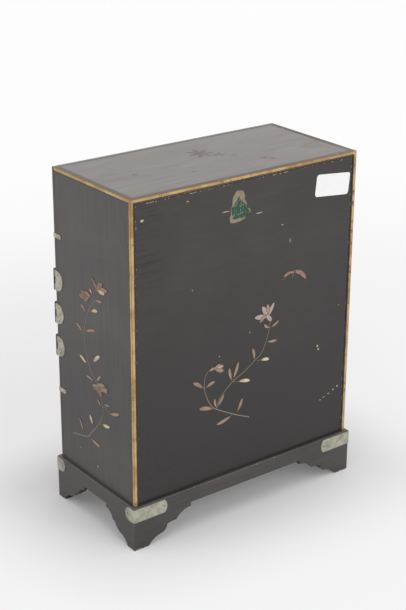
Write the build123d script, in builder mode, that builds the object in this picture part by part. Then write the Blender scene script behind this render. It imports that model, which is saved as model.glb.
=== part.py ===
from build123d import *
import os
from math import cos, radians, sin

# A small lacquered chest on a bracket-foot plinth, in millimetres.
# Z is up and the front faces -Y. The origin is on the floor, under the middle of the overall box.

# --- Case -------------------------------------------------------------------------------------
case_width = 290.0
case_depth = 140.0
case_height = 330.0
side_board = 9.0
top_board = 9.0
bottom_board = 8.0
rail_board = 7.0
partition_board = 7.0
back_board = 5.0
back_lip = 4.5  # rear edge of the sides and top that shows round the back board
back_inset = 0.5  # how far the back board lies in from those edges
back_gap = 0.3  # joint line round the back board
housing = 2.5  # how deep inner boards are let into their neighbours
lower_rail = 81.5  # middle of the rail over the bottom drawer, above the case's underside
upper_rail = 257.0  # middle of the rail under the top drawers
edge_break = 0.5

# --- Plinth -----------------------------------------------------------------------------------
plinth_height = 50.0
plinth_lip = 3.6  # how far the plinth stands out round the case
apron_board = 10.0
apron_drop = 16.5  # height of the apron between the feet
plinth_chamfer = 0.8
block_leg = 16.0
block_clear = 12.0  # floor to the underside of the corner blocks

# Scalloped bracket foot: what each step of the outline runs along the face, outer edge first
long_face_steps = {"toe": 17.8, "cove": 18.5, "lobe": 5.8, "ledge": 11.8, "shoulder": 18.9}
short_face_steps = {"toe": 12.6, "cove": 13.0, "lobe": 10.0, "ledge": 4.5, "shoulder": 12.5}
# and how high each step ends above the floor, with how far its curve bows into the wood
cove_height, cove_bow = 10.0, 2.3
lobe_height, lobe_bow = 18.0, -1.3
ledge_height, ledge_bow = 19.4, 0.5
shoulder_height, shoulder_bow = 29.0, 2.6

# --- Sheet-metal mounts -----------------------------------------------------------------------
sheet = 0.8
mount_height = 15.0
mount_below_top = 1.5
mount_long_leg = 41.5
mount_short_leg = 15.0
mount_long_bow = 3.0
mount_short_bow = 6.0
fold_radius = 0.6
mount_nails_long = (17.5, 37.5)  # from the corner
mount_nail_short = 11.0
strap_height = 4.7
strap_side_leg = 13.0
strap_front_leg = 22.0
strap_bow = 2.0
strap_nail_side = 9.5
strap_nails_front = (6.0, 18.0)
nail_head_radius = 1.0
nail_head_height = 0.5
nail_head_taper = 35
nail_sides = 6

# --- Doors and their hinges -------------------------------------------------------------------
door_board = 8.0
door_gap = 0.6  # above, below and at the hinged edges
meeting_gap = 1.4  # between the two doors
hinge_count = 3
hinge_pitch = 37.5
leaf_height = 22.5
leaf_reach_side = 13.5
leaf_reach_door = 17.0
leaf_nail_in = 5.0
leaf_nail_spread = 14.5
knuckle_radius = 2.4
knuckle_sides = 12  # knuckles are folded round the pin in short flats
pin_radius = 1.5
pin_clearance = 0.08
pin_head = 0.6
pin_head_radius = 2.1
knuckle_gap = 0.3
stop_section = 5.0
stop_length = 60.0
stop_gap = 0.2

# --- Shelf behind the doors -------------------------------------------------------------------
shelf_board = 6.0
shelf_above_rail = 81.0  # top of the lower rail to the shelf's underside
shelf_set_back = 3.0  # from the doors' inner faces
cleat_section = 6.0
cleat_set_back = 6.0

# --- Drawers ----------------------------------------------------------------------------------
front_skin = 4.0  # full-size layer of a drawer front
front_core = 5.0  # layer behind it, rebated for the sides and bottom
drawer_side = 5.0
drawer_back = 5.0
drawer_bottom = 3.5
drawer_side_gap = 0.5
drawer_top_gap = 0.7
front_lift = 0.3  # drawer front's lower edge above the board that the drawer runs on
drawer_rear_gap = 0.4
drawer_back_drop = 3.0  # back board's top edge below the sides'

# --- Pulls ------------------------------------------------------------------------------------
rosette_thickness = 0.8
rosette_sides = 12
post_sides = 8  # posts and pin heads are filed in flats
wire_sides = 8  # rings and bails are forged in flats
ring_sides = 24
bend_steps = 3  # short flats in each bend of a bail
bail_rosette_radius = 4.6
bail_post_radius = 2.0
bail_post_reach = 7.0
bail_wire = 1.1  # radius
bail_pivot_reach = 5.0
bail_span = 34.0  # between the posts' axes
bail_leg_outset = 4.2
bail_drop = 15.0
bail_bend = 5.0
bail_shoulder = 2.0
bail_tip = 2.6  # how far a bail's turned-in end passes its post's axis
bail_clearance = 0.08
bail_rise = 3.0  # bail pivots above the drawer front's middle
bottom_bail_offset = 68.0
ring_rosette_radius = 6.5
ring_post_radius = 2.4
ring_post_reach = 7.6
ring_wire = 1.1
ring_radius = 7.5
ring_pivot_reach = 5.2
ring_clearance = 0.55
ring_inset = 17.0  # from a door's free edge
ring_rise = 6.0  # ring pivots above the doors' middle

# --- Places worked out from those sizes -------------------------------------------------------
front_reach = max(bail_post_reach, ring_post_reach)
rear_reach = plinth_lip + sheet + nail_head_height
case_middle = (front_reach - rear_reach) / 2
case_front = case_middle - case_depth / 2
case_rear = case_middle + case_depth / 2
case_edge = case_width / 2
inner_edge = case_edge - side_board
case_base = plinth_height
case_top_z = case_base + case_height
floor_z = case_base + bottom_board
ceiling_z = case_top_z - top_board
back_face = case_rear - back_inset
back_seat = back_face - back_board
lower_rail_z = case_base + lower_rail
upper_rail_z = case_base + upper_rail
plinth_edge = case_edge + plinth_lip
plinth_half_depth = case_depth / 2 + plinth_lip
door_low = lower_rail_z + rail_board / 2 + door_gap
door_high = upper_rail_z - rail_board / 2 - door_gap
door_middle_z = (door_low + door_high) / 2
door_back = case_front + door_board
door_outer = inner_edge - door_gap
door_inner = meeting_gap / 2
pin_x = case_edge + sheet - knuckle_radius
pin_y = case_front - knuckle_gap - knuckle_radius
hinge_heights = [door_middle_z + hinge_pitch * (i - (hinge_count - 1) / 2) for i in range(hinge_count)]
knuckle = (leaf_height - 2 * knuckle_gap) / 3
RIGHT_AND_LEFT = (("right", 1), ("left", -1))
BACK_AND_FRONT = (("back", 1), ("front", -1))

os.makedirs("parts", exist_ok=True)


def save(piece, name):
    piece.part.label = name
    export_step(piece.part, f"parts/{name}.step")


def facing_front(y):
    """Drawing plane at depth y: X across, Z up, seen from the front. Positive extrusions come forward."""
    return Plane.XZ.offset(-y)


def facing_side(x):
    """Drawing plane at x: Y across, Z up. Positive extrusions go towards +X."""
    return Plane.YZ.offset(x)


def bowed(start, end, bow):
    """An arc from start to end whose middle stands bow to the right of the chord."""
    along = Vector(*end) - Vector(*start)
    across = Vector(along.Y, -along.X).normalized()
    middle = (Vector(*start) + Vector(*end)) * 0.5 + across * bow
    return ThreePointArc(start, (middle.X, middle.Y), end)


def board(x_low, x_high, y_low, y_high, z_low, thickness):
    """A plain board as a part builder."""
    with BuildPart() as piece:
        with BuildSketch(Plane.XY.offset(z_low)):
            with Locations(((x_low + x_high) / 2, (y_low + y_high) / 2)):
                Rectangle(x_high - x_low, y_high - y_low)
        extrude(amount=thickness)
    return piece


# --- Case boards ------------------------------------------------------------------------------
def case_side(sign):
    """Side board: mitred at the top, rebated for the back, housed for the rails and the bottom."""
    with BuildPart() as side:
        with BuildSketch(facing_front(case_front)):
            with BuildLine():
                Polyline(
                    (sign * inner_edge, case_base),
                    (sign * case_edge, case_base),
                    (sign * case_edge, case_top_z),
                    (sign * inner_edge, ceiling_z),
                    close=True,
                )
            make_face()
        extrude(amount=-case_depth)
        with BuildSketch(facing_front(back_seat)):
            with Locations((sign * (inner_edge + case_edge - back_lip) / 2, (case_base + case_top_z) / 2)):
                Rectangle(side_board - back_lip, case_height)
        extrude(amount=back_seat - case_rear, mode=Mode.SUBTRACT)
        with BuildSketch(facing_front(case_front)):
            for z_low, thickness in (
                (case_base, bottom_board),
                (lower_rail_z - rail_board / 2, rail_board),
                (upper_rail_z - rail_board / 2, rail_board),
            ):
                with Locations((sign * (inner_edge + housing / 2), z_low + thickness / 2)):
                    Rectangle(housing, thickness)
        extrude(amount=case_front - back_seat, mode=Mode.SUBTRACT)
    return side


for hand, sign in RIGHT_AND_LEFT:
    save(case_side(sign), f"case_side_{hand}")

with BuildPart() as case_top:
    with BuildSketch(facing_front(case_front)):
        with BuildLine():
            Polyline(
                (-inner_edge, ceiling_z),
                (inner_edge, ceiling_z),
                (case_edge, case_top_z),
                (-case_edge, case_top_z),
                close=True,
            )
        make_face()
    extrude(amount=-case_depth)
    # rebate for the back board, and the groove that holds the partition
    with BuildSketch(facing_front(back_seat)):
        with Locations((0, (ceiling_z + case_top_z - back_lip) / 2)):
            Rectangle(2 * (case_edge - back_lip), top_board - back_lip)
    extrude(amount=back_seat - case_rear, mode=Mode.SUBTRACT)
    with BuildSketch(facing_front(case_front)):
        with Locations((0, ceiling_z + housing / 2)):
            Rectangle(partition_board, housing)
    extrude(amount=case_front - back_seat, mode=Mode.SUBTRACT)
save(case_top, "case_top")

housed_edge = inner_edge + housing
save(board(-housed_edge, housed_edge, case_front, back_seat, case_base, bottom_board), "case_bottom")
save(
    board(-housed_edge, housed_edge, case_front, back_seat, lower_rail_z - rail_board / 2, rail_board),
    "lower_rail_board",
)

with BuildPart() as upper_rail_board:
    with BuildSketch(Plane.XY.offset(upper_rail_z - rail_board / 2)):
        with Locations((0, (case_front + back_seat) / 2)):
            Rectangle(2 * housed_edge, back_seat - case_front)
    extrude(amount=rail_board)
    with BuildSketch(facing_front(case_front)):
        with Locations((0, upper_rail_z + rail_board / 2 - housing / 2)):
            Rectangle(partition_board, housing)
    extrude(amount=case_front - back_seat, mode=Mode.SUBTRACT)
save(upper_rail_board, "upper_rail_board")

partition_low = upper_rail_z + rail_board / 2 - housing
partition_high = ceiling_z + housing
save(
    board(
        -partition_board / 2,
        partition_board / 2,
        case_front,
        back_seat,
        partition_low,
        partition_high - partition_low,
    ),
    "drawer_partition",
)

back_edge = case_edge - back_lip - back_gap
back_high = case_top_z - back_lip - back_gap
save(board(-back_edge, back_edge, back_seat, back_face, case_base, back_high - case_base), "case_back")

# --- Shelf, its cleats and the door stops -----------------------------------------------------
cupboard_low = lower_rail_z + rail_board / 2
cupboard_high = upper_rail_z - rail_board / 2
shelf_z = cupboard_low + shelf_above_rail
shelf_front = door_back + shelf_set_back
save(board(-inner_edge, inner_edge, shelf_front, back_seat, shelf_z, shelf_board), "shelf")

with BuildPart() as shelf_cleats:
    cleat_front = shelf_front + cleat_set_back
    with BuildSketch(Plane.XY.offset(shelf_z - cleat_section)):
        for _, sign in RIGHT_AND_LEFT:
            with Locations((sign * (inner_edge - cleat_section / 2), (cleat_front + back_seat) / 2)):
                Rectangle(cleat_section, back_seat - cleat_front)
    extrude(amount=cleat_section)
save(shelf_cleats, "shelf_cleats")

with BuildPart() as door_stops:
    stop_y = door_back + stop_gap + stop_section / 2
    with BuildSketch(facing_side(-stop_length / 2)):
        with Locations((stop_y, cupboard_low + stop_section / 2), (stop_y, cupboard_high - stop_section / 2)):
            Rectangle(stop_section, stop_section)
    extrude(amount=stop_length)
save(door_stops, "door_stops")


# --- Plinth -----------------------------------------------------------------------------------
def bracket_half(half_length, steps, middle):
    """Half the elevation of an apron, from its middle out to one scalloped foot."""
    toe = half_length - steps["toe"]
    cove = toe - steps["cove"]
    lobe = cove - steps["lobe"]
    ledge = lobe - steps["ledge"]
    shoulder = ledge - steps["shoulder"]
    under = plinth_height - apron_drop

    def at(x, z):
        return (middle + x, z)

    Polyline(at(0, under), at(0, plinth_height), at(half_length, plinth_height), at(half_length, 0), at(toe, 0))
    bowed(at(toe, 0), at(cove, cove_height), cove_bow)
    bowed(at(cove, cove_height), at(lobe, lobe_height), lobe_bow)
    bowed(at(lobe, lobe_height), at(ledge, ledge_height), ledge_bow)
    bowed(at(ledge, ledge_height), at(shoulder, shoulder_height), shoulder_bow)
    Polyline(at(shoulder, shoulder_height), at(shoulder, under), at(0, under))


def apron(long_face, sign):
    """One plinth board, mitred at both ends. The long faces are the front and the back."""
    half_length = plinth_edge if long_face else plinth_half_depth
    outer = sign * (plinth_half_depth if long_face else plinth_edge)
    inner = outer - sign * apron_board
    mitred = half_length - apron_board
    plan = [(-half_length, outer), (half_length, outer), (mitred, inner), (-mitred, inner)]
    if not long_face:
        plan = [(across, along) for along, across in plan]
    middle = 0 if long_face else case_middle
    with BuildPart() as piece:
        with BuildSketch(Plane.XY):
            with BuildLine():
                Polyline(*[(x, y + case_middle) for x, y in plan], close=True)
            make_face()
        extrude(amount=plinth_height)
        with BuildSketch(facing_front(0) if long_face else facing_side(0)):
            with BuildLine():
                bracket_half(half_length, long_face_steps if long_face else short_face_steps, middle)
            make_face()
            mirror(about=Plane.YZ.offset(middle))
        extrude(amount=2 * plinth_edge, both=True, mode=Mode.INTERSECT)
        rim = piece.faces().sort_by(Axis.Z)[-1].edges()
        rim = rim.filter_by(Axis.X if long_face else Axis.Y).sort_by(Axis.Y if long_face else Axis.X)
        chamfer(rim[-1] if sign > 0 else rim[0], plinth_chamfer)
    return piece


for name, long_face, sign in (
    ("plinth_front", True, -1),
    ("plinth_back", True, 1),
    ("plinth_right", False, 1),
    ("plinth_left", False, -1),
):
    save(apron(long_face, sign), name)

with BuildPart() as corner_blocks:
    block_x = plinth_edge - apron_board
    with BuildSketch(Plane.XY.offset(block_clear)):
        for _, x_sign in RIGHT_AND_LEFT:
            for _, y_sign in BACK_AND_FRONT:
                block_y = case_middle + y_sign * (plinth_half_depth - apron_board)
                with BuildLine():
                    Polyline(
                        (x_sign * block_x, block_y),
                        (x_sign * (block_x - block_leg), block_y),
                        (x_sign * block_x, block_y - y_sign * block_leg),
                        close=True,
                    )
                make_face()
    extrude(amount=plinth_height - block_clear)
save(corner_blocks, "corner_blocks")


# --- Folded mounts and nails ------------------------------------------------------------------
def nails(rows):
    """Heads of hand-cut nails, faceted, on the outer faces of the plates.
    A row is (face of the plate, 1 or -1 for which way it looks along the plane's normal, places)."""
    with BuildPart() as heads:
        for face, outward, places in rows:
            with BuildSketch(face):
                with Locations(*places):
                    RegularPolygon(radius=nail_head_radius, side_count=nail_sides)
            extrude(amount=outward * nail_head_height, taper=nail_head_taper)
    return heads


def leg_outline(corner, tip, bow, low, high):
    """One leg of a folded mount: square at the corner, with its end bowed out to the tip."""
    shoulder = tip + bow if corner > tip else tip - bow
    Polyline((shoulder, high), (corner, high), (corner, low), (shoulder, low))
    ThreePointArc((shoulder, low), (tip, (low + high) / 2), (shoulder, high))


def folded_plate(corner, signs, z_limits, face_leg, side_leg):
    """A strip folded round an upright corner of the chest. Each leg is (length, bow of its end)."""
    corner_x, corner_y = corner
    x_sign, y_sign = signs
    with BuildPart() as plate:
        with BuildSketch(facing_front(corner_y)):
            with BuildLine():
                length, bow = face_leg
                leg_outline(corner_x + x_sign * sheet, corner_x - x_sign * length, bow, *z_limits)
            make_face()
        extrude(amount=-y_sign * sheet)
        with BuildSketch(facing_side(corner_x)):
            with BuildLine():
                length, bow = side_leg
                leg_outline(corner_y + y_sign * sheet, corner_y - y_sign * length, bow, *z_limits)
            make_face()
        extrude(amount=x_sign * sheet)
        uprights = plate.edges().filter_by(Axis.Z).group_by(Axis.X)[-1 if x_sign > 0 else 0]
        fillet(uprights.sort_by(Axis.Y)[-1 if y_sign > 0 else 0], fold_radius)
    return plate


mount_low = plinth_height - mount_below_top - mount_height
mount_middle = mount_low + mount_height / 2
plinth_nail_rows = []
for y_hand, y_sign in BACK_AND_FRONT:
    for x_hand, x_sign in RIGHT_AND_LEFT:
        corner_x = x_sign * plinth_edge
        corner_y = case_middle + y_sign * plinth_half_depth
        face_places = [(corner_x - x_sign * reach, mount_middle) for reach in mount_nails_long]
        side_places = [(corner_y - y_sign * mount_nail_short, mount_middle)]
        mount = folded_plate(
            (corner_x, corner_y),
            (x_sign, y_sign),
            (mount_low, mount_low + mount_height),
            (mount_long_leg, mount_long_bow),
            (mount_short_leg, mount_short_bow),
        )
        save(mount, f"plinth_mount_{y_hand}_{x_hand}")
        plinth_nail_rows.append((facing_front(corner_y + y_sign * sheet), -y_sign, face_places))
        plinth_nail_rows.append((facing_side(corner_x + x_sign * sheet), x_sign, side_places))
save(nails(plinth_nail_rows), "plinth_nails")

straps = []
case_nail_rows = []
for _, x_sign in RIGHT_AND_LEFT:
    for rail_z in (upper_rail_z, lower_rail_z):
        corner_x = x_sign * case_edge
        face_places = [(corner_x - x_sign * reach, rail_z) for reach in strap_nails_front]
        side_places = [(case_front + strap_nail_side, rail_z)]
        strap = folded_plate(
            (corner_x, case_front),
            (x_sign, -1),
            (rail_z - strap_height / 2, rail_z + strap_height / 2),
            (strap_front_leg, strap_bow),
            (strap_side_leg, strap_bow),
        )
        straps.append(strap.part)
        case_nail_rows.append((facing_front(case_front - sheet), 1, face_places))
        case_nail_rows.append((facing_side(corner_x + x_sign * sheet), x_sign, side_places))
with BuildPart() as edge_straps:
    add(straps)
save(edge_straps, "edge_straps")


# --- Doors, hinges and ring pulls -------------------------------------------------------------
def leaf_outline(edge, tip, z):
    """A hinge leaf: straight at its knuckles, and round like a D at the other end."""
    half = leaf_height / 2
    shoulder = tip - half if tip > edge else tip + half
    Polyline((shoulder, z + half), (edge, z + half), (edge, z - half), (shoulder, z - half))
    ThreePointArc((shoulder, z - half), (tip, z), (shoulder, z + half))


def leaf_nails(across, z):
    return [(across, z + leaf_nail_spread / 2), (across, z - leaf_nail_spread / 2)]


def knuckle_section(x, strip_middle, strip_size):
    """A rolled knuckle bored for the pin, with the strip of leaf that runs into it."""
    with Locations((x, pin_y)):
        RegularPolygon(radius=knuckle_radius, side_count=knuckle_sides)
    with Locations(strip_middle):
        Rectangle(*strip_size)
    with Locations((x, pin_y)):
        RegularPolygon(pin_radius + pin_clearance, knuckle_sides, major_radius=False, mode=Mode.SUBTRACT)


wire_flat = ring_wire * cos(radians(180 / wire_sides))
wire_chamfer = wire_flat - ring_wire * sin(radians(180 / wire_sides))
leaf_edge = pin_x - knuckle_radius - knuckle_gap
leaf_tip = inner_edge - leaf_reach_door
for hand, sign in RIGHT_AND_LEFT:
    with BuildPart() as side_leaves:
        for z in hinge_heights:
            places = leaf_nails(case_front + leaf_nail_in, z)
            with BuildSketch(facing_side(sign * case_edge)):
                with BuildLine():
                    leaf_outline(case_front, case_front + leaf_reach_side, z)
                make_face()
            extrude(amount=sign * sheet)
            case_nail_rows.append((facing_side(sign * (case_edge + sheet)), sign, places))
            for z_low in (z - leaf_height / 2, z + leaf_height / 2 - knuckle):
                with BuildSketch(Plane.XY.offset(z_low)):
                    strip_middle = (sign * (case_edge + sheet / 2), (pin_y + case_front) / 2)
                    knuckle_section(sign * pin_x, strip_middle, (sheet, case_front - pin_y))
                extrude(amount=knuckle)
    save(side_leaves, f"hinge_side_leaves_{hand}")

    door_nail_rows = []
    with BuildPart() as door_leaves:
        for z in hinge_heights:
            places = leaf_nails(sign * (leaf_tip + leaf_height / 2 - leaf_nail_in), z)
            with BuildSketch(facing_front(case_front)):
                with BuildLine():
                    leaf_outline(sign * leaf_edge, sign * leaf_tip, z)
                make_face()
            extrude(amount=sheet)
            door_nail_rows.append((facing_front(case_front - sheet), 1, places))
            with BuildSketch(Plane.XY.offset(z - knuckle / 2)):
                strip_middle = (sign * (leaf_edge + pin_x) / 2, case_front - sheet / 2)
                knuckle_section(sign * pin_x, strip_middle, (pin_x - leaf_edge, sheet))
            extrude(amount=knuckle)
    save(door_leaves, f"hinge_door_leaves_{hand}")
    save(nails(door_nail_rows), f"hinge_door_nails_{hand}")

    with BuildPart() as door:
        with BuildSketch(facing_front(case_front)):
            with Locations((sign * (door_inner + door_outer) / 2, door_middle_z)):
                Rectangle(door_outer - door_inner, door_high - door_low)
        extrude(amount=-door_board)
        chamfer(door.faces().sort_by(Axis.Y)[0].edges(), edge_break)
    save(door, f"door_{hand}")

    ring_x = sign * (door_inner + ring_inset)
    ring_z = door_middle_z + ring_rise
    with BuildPart() as ring_post:
        with BuildSketch(facing_front(case_front)):
            with Locations((ring_x, ring_z)):
                RegularPolygon(radius=ring_rosette_radius, side_count=rosette_sides)
        extrude(amount=rosette_thickness)
        with BuildSketch(facing_front(case_front)):
            with Locations((ring_x, ring_z)):
                RegularPolygon(ring_post_radius, post_sides, rotation=180 / post_sides)
        extrude(amount=ring_post_reach)
        chamfer(ring_post.faces().sort_by(Axis.Y)[0].edges(), edge_break)
        with BuildSketch(facing_side(ring_x)):
            with Locations((case_front - ring_pivot_reach, ring_z)):
                Circle(ring_wire + ring_clearance)
        extrude(amount=2 * ring_post_radius, both=True, mode=Mode.SUBTRACT)
    save(ring_post, f"ring_post_{hand}")

    with BuildPart() as pull_ring:
        with BuildSketch(facing_front(case_front - ring_pivot_reach)):
            with Locations((ring_x, ring_z - ring_radius)):
                RegularPolygon(radius=ring_radius + wire_flat, side_count=ring_sides)
                RegularPolygon(radius=ring_radius - wire_flat, side_count=ring_sides, mode=Mode.SUBTRACT)
        extrude(amount=wire_flat, both=True)
        chamfer(pull_ring.faces().filter_by(Axis.Y).edges(), wire_chamfer)
    save(pull_ring, f"pull_ring_{hand}")

save(nails(case_nail_rows), "case_nails")

with BuildPart() as hinge_pins:
    for z in hinge_heights:
        low, high = z - leaf_height / 2, z + leaf_height / 2
        with BuildSketch(Plane.XY.offset(low)):
            with Locations((pin_x, pin_y), (-pin_x, pin_y)):
                Circle(pin_radius)
        extrude(amount=leaf_height)
        for z_end, length in ((low, -pin_head), (high, pin_head)):
            with BuildSketch(Plane.XY.offset(z_end)):
                with Locations((pin_x, pin_y), (-pin_x, pin_y)):
                    RegularPolygon(radius=pin_head_radius, side_count=post_sides)
            extrude(amount=length)
save(hinge_pins, "hinge_pins")


# --- Drawers ----------------------------------------------------------------------------------
def drawer(name, x_limits, z_limits):
    """The five boards of a drawer that fills the opening between those limits."""
    left = x_limits[0] + drawer_side_gap
    right = x_limits[1] - drawer_side_gap
    middle = (left + right) / 2
    low = z_limits[0]
    top = z_limits[1] - drawer_top_gap
    deck = low + drawer_bottom
    core_front = case_front + front_skin
    rear = back_seat - drawer_rear_gap
    with BuildPart() as front:
        with BuildSketch(facing_front(case_front)):
            with Locations((middle, (low + front_lift + top) / 2)):
                Rectangle(right - left, top - low - front_lift)
        extrude(amount=-front_skin)
        chamfer(front.faces().sort_by(Axis.Y)[0].edges(), edge_break)
        with BuildSketch(facing_front(core_front)):
            with Locations((middle, (deck + top) / 2)):
                Rectangle(right - left - 2 * drawer_side, top - deck)
        extrude(amount=-front_core)
    save(front, f"{name}_front")
    side_height = top - deck
    save(board(left, left + drawer_side, core_front, rear, deck, side_height), f"{name}_side_left")
    save(board(right - drawer_side, right, core_front, rear, deck, side_height), f"{name}_side_right")
    back_limits = (left + drawer_side, right - drawer_side, rear - drawer_back, rear)
    save(board(*back_limits, deck, side_height - drawer_back_drop), f"{name}_back")
    save(board(left, right, core_front, rear, low, drawer_bottom), f"{name}_floor")


def bail_posts(middles, z):
    """A rosette and an eyed post for each end of each bail."""
    posts_x = [middle + side * bail_span / 2 for middle in middles for side in (-1, 1)]
    with BuildPart() as posts:
        with BuildSketch(facing_front(case_front)):
            with Locations(*[(x, z) for x in posts_x]):
                RegularPolygon(radius=bail_rosette_radius, side_count=rosette_sides)
        extrude(amount=rosette_thickness)
        with BuildSketch(facing_front(case_front)):
            with Locations(*[(x, z) for x in posts_x]):
                RegularPolygon(bail_post_radius, post_sides, rotation=180 / post_sides)
        extrude(amount=bail_post_reach)
        chamfer(posts.faces().group_by(Axis.Y)[0].edges(), edge_break)
        for x in posts_x:
            with BuildSketch(facing_side(x)):
                with Locations((case_front - bail_pivot_reach, z)):
                    Circle(bail_wire + bail_clearance)
            extrude(amount=bail_post_radius, both=True, mode=Mode.SUBTRACT)
    return posts


def bend_places(corner, outward, upward, radius):
    """Points of a bail's bend, from the side of the bail round to its run across."""
    centre_x, centre_z = corner[0] - outward * radius, corner[1] - upward * radius
    angles = [radians(90 * step / bend_steps) for step in range(bend_steps + 1)]
    return [(centre_x + outward * radius * cos(a), centre_z + upward * radius * sin(a)) for a in angles]


def bail(middle, z):
    """A wire drop handle. Its ends turn in through the posts."""
    tip = bail_span / 2 - bail_tip
    leg = bail_span / 2 + bail_leg_outset
    shoulder = bend_places((leg, z), 1, 1, bail_shoulder)
    foot = bend_places((leg, z - bail_drop), 1, -1, bail_bend)
    half = [(tip, z), *reversed(shoulder), *foot]
    with BuildPart() as wire:
        with BuildLine(facing_front(case_front - bail_pivot_reach)) as route:
            Polyline(*[(middle - x, up) for x, up in half], *[(middle + x, up) for x, up in reversed(half)])
        with BuildSketch(Plane(origin=route.line @ 0, z_dir=route.line % 0)):
            RegularPolygon(radius=bail_wire, side_count=wire_sides)
        sweep(path=route.line, transition=Transition.RIGHT)
    return wire


bottom_z = (floor_z, lower_rail_z - rail_board / 2)
bottom_pull_z = sum(bottom_z) / 2 + bail_rise
drawer("bottom_drawer", (-inner_edge, inner_edge), bottom_z)
save(bail_posts((-bottom_bail_offset, bottom_bail_offset), bottom_pull_z), "bottom_drawer_posts")
top_z = (upper_rail_z + rail_board / 2, ceiling_z)
top_pull_z = sum(top_z) / 2 + bail_rise
top_pull_x = (partition_board / 2 + inner_edge) / 2
for hand, sign in RIGHT_AND_LEFT:
    save(bail(sign * bottom_bail_offset, bottom_pull_z), f"bottom_bail_{hand}")
    drawer(f"top_drawer_{hand}", sorted((sign * partition_board / 2, sign * inner_edge)), top_z)
    save(bail_posts((sign * top_pull_x,), top_pull_z), f"top_drawer_posts_{hand}")
    save(bail(sign * top_pull_x, top_pull_z), f"top_bail_{hand}")
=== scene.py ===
"""Finish of a small tansu chest: black lacquer with gilt lines and painted sprays, white metal
mounts, iron pulls and plain wood inside. It is laid out as an add-on and run as a script."""

import math

import bmesh
import bpy
from mathutils import Matrix, Vector, geometry


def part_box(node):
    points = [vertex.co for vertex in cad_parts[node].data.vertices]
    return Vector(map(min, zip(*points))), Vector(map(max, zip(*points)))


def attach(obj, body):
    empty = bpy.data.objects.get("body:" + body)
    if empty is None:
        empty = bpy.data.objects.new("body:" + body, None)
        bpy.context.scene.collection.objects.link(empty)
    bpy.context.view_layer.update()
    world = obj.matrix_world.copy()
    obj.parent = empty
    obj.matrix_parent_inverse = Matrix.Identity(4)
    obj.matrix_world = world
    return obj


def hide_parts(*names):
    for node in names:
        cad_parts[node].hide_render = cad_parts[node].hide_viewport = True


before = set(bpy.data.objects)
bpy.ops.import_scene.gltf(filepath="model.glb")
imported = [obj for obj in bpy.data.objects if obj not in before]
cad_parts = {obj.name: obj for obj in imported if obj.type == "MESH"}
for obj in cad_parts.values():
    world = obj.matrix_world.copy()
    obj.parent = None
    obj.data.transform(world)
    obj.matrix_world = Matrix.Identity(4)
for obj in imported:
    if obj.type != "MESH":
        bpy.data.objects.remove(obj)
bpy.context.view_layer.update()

bl_info = {
    "name": "Small tansu chest",
    "version": (1, 0, 0),
    "blender": (4, 5, 0),
    "location": "View3D > Sidebar > Chest",
    "description": "Lacquer, mounts, pulls, painted sprays and studio for the tansu chest",
    "category": "Object",
}

MM = 0.001
CASE_LOW = Vector(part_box("case_side_left")[0])
CASE_HIGH = Vector(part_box("case_side_right")[1])
PLINTH_LOW = Vector((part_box("plinth_left")[0].x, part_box("plinth_front")[0].y, 0.0))
PLINTH_HIGH = Vector((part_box("plinth_right")[1].x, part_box("plinth_back")[1].y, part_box("plinth_back")[1].z))
BACK_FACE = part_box("case_back")[1].y
FAR = 1.0  # metres, past any part of the chest
PAINT_GAP, LABEL_GAP = 0.01 * MM, 0.02 * MM  # keep a layer clear of the face that it lies on
WHITE = (1, 1, 1, 1)
ALONG_X, ALONG_Z = (0.06, 1, 1), (1, 1, 0.05)  # squeeze a pattern so that it runs along a board
KNUCKLE_REACH = 2.6 * MM  # from a hinge pin's middle to just outside its knuckles
LARGE_FLORET = 10 * MM  # radius past which a floret has seven petals, not five


def shade(red, green, blue):
    """A colour written 0 to 255, as the linear colour that a shader takes."""
    linear = [c / 255 / 12.92 if c < 11 else ((c / 255 + 0.055) / 1.055) ** 2.4 for c in (red, green, blue)]
    return (*linear, 1.0)


def tint(title, about, *colour):
    """A colour that the panel shows."""
    return bpy.props.FloatVectorProperty(
        name=title, description=about, subtype="COLOR", size=4, min=0, max=1, default=shade(*colour))


def length(title, about, millimetres):
    """A length that the panel shows."""
    return bpy.props.FloatProperty(
        name=title, description=about, subtype="DISTANCE", unit="LENGTH", precision=5, min=0,
        default=millimetres * MM)


def share(title, about, value):
    """A share from none to all."""
    return bpy.props.FloatProperty(
        name=title, description=about, subtype="FACTOR", min=0, max=1, default=value)


def angle(title, about, degrees):
    """An angle that the panel shows."""
    return bpy.props.FloatProperty(
        name=title, description=about, subtype="ANGLE", default=math.radians(degrees))


def power(title, about, watts):
    """A light's strength."""
    return bpy.props.FloatProperty(name=title, description=about, unit="POWER", min=0, default=watts)


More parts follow.
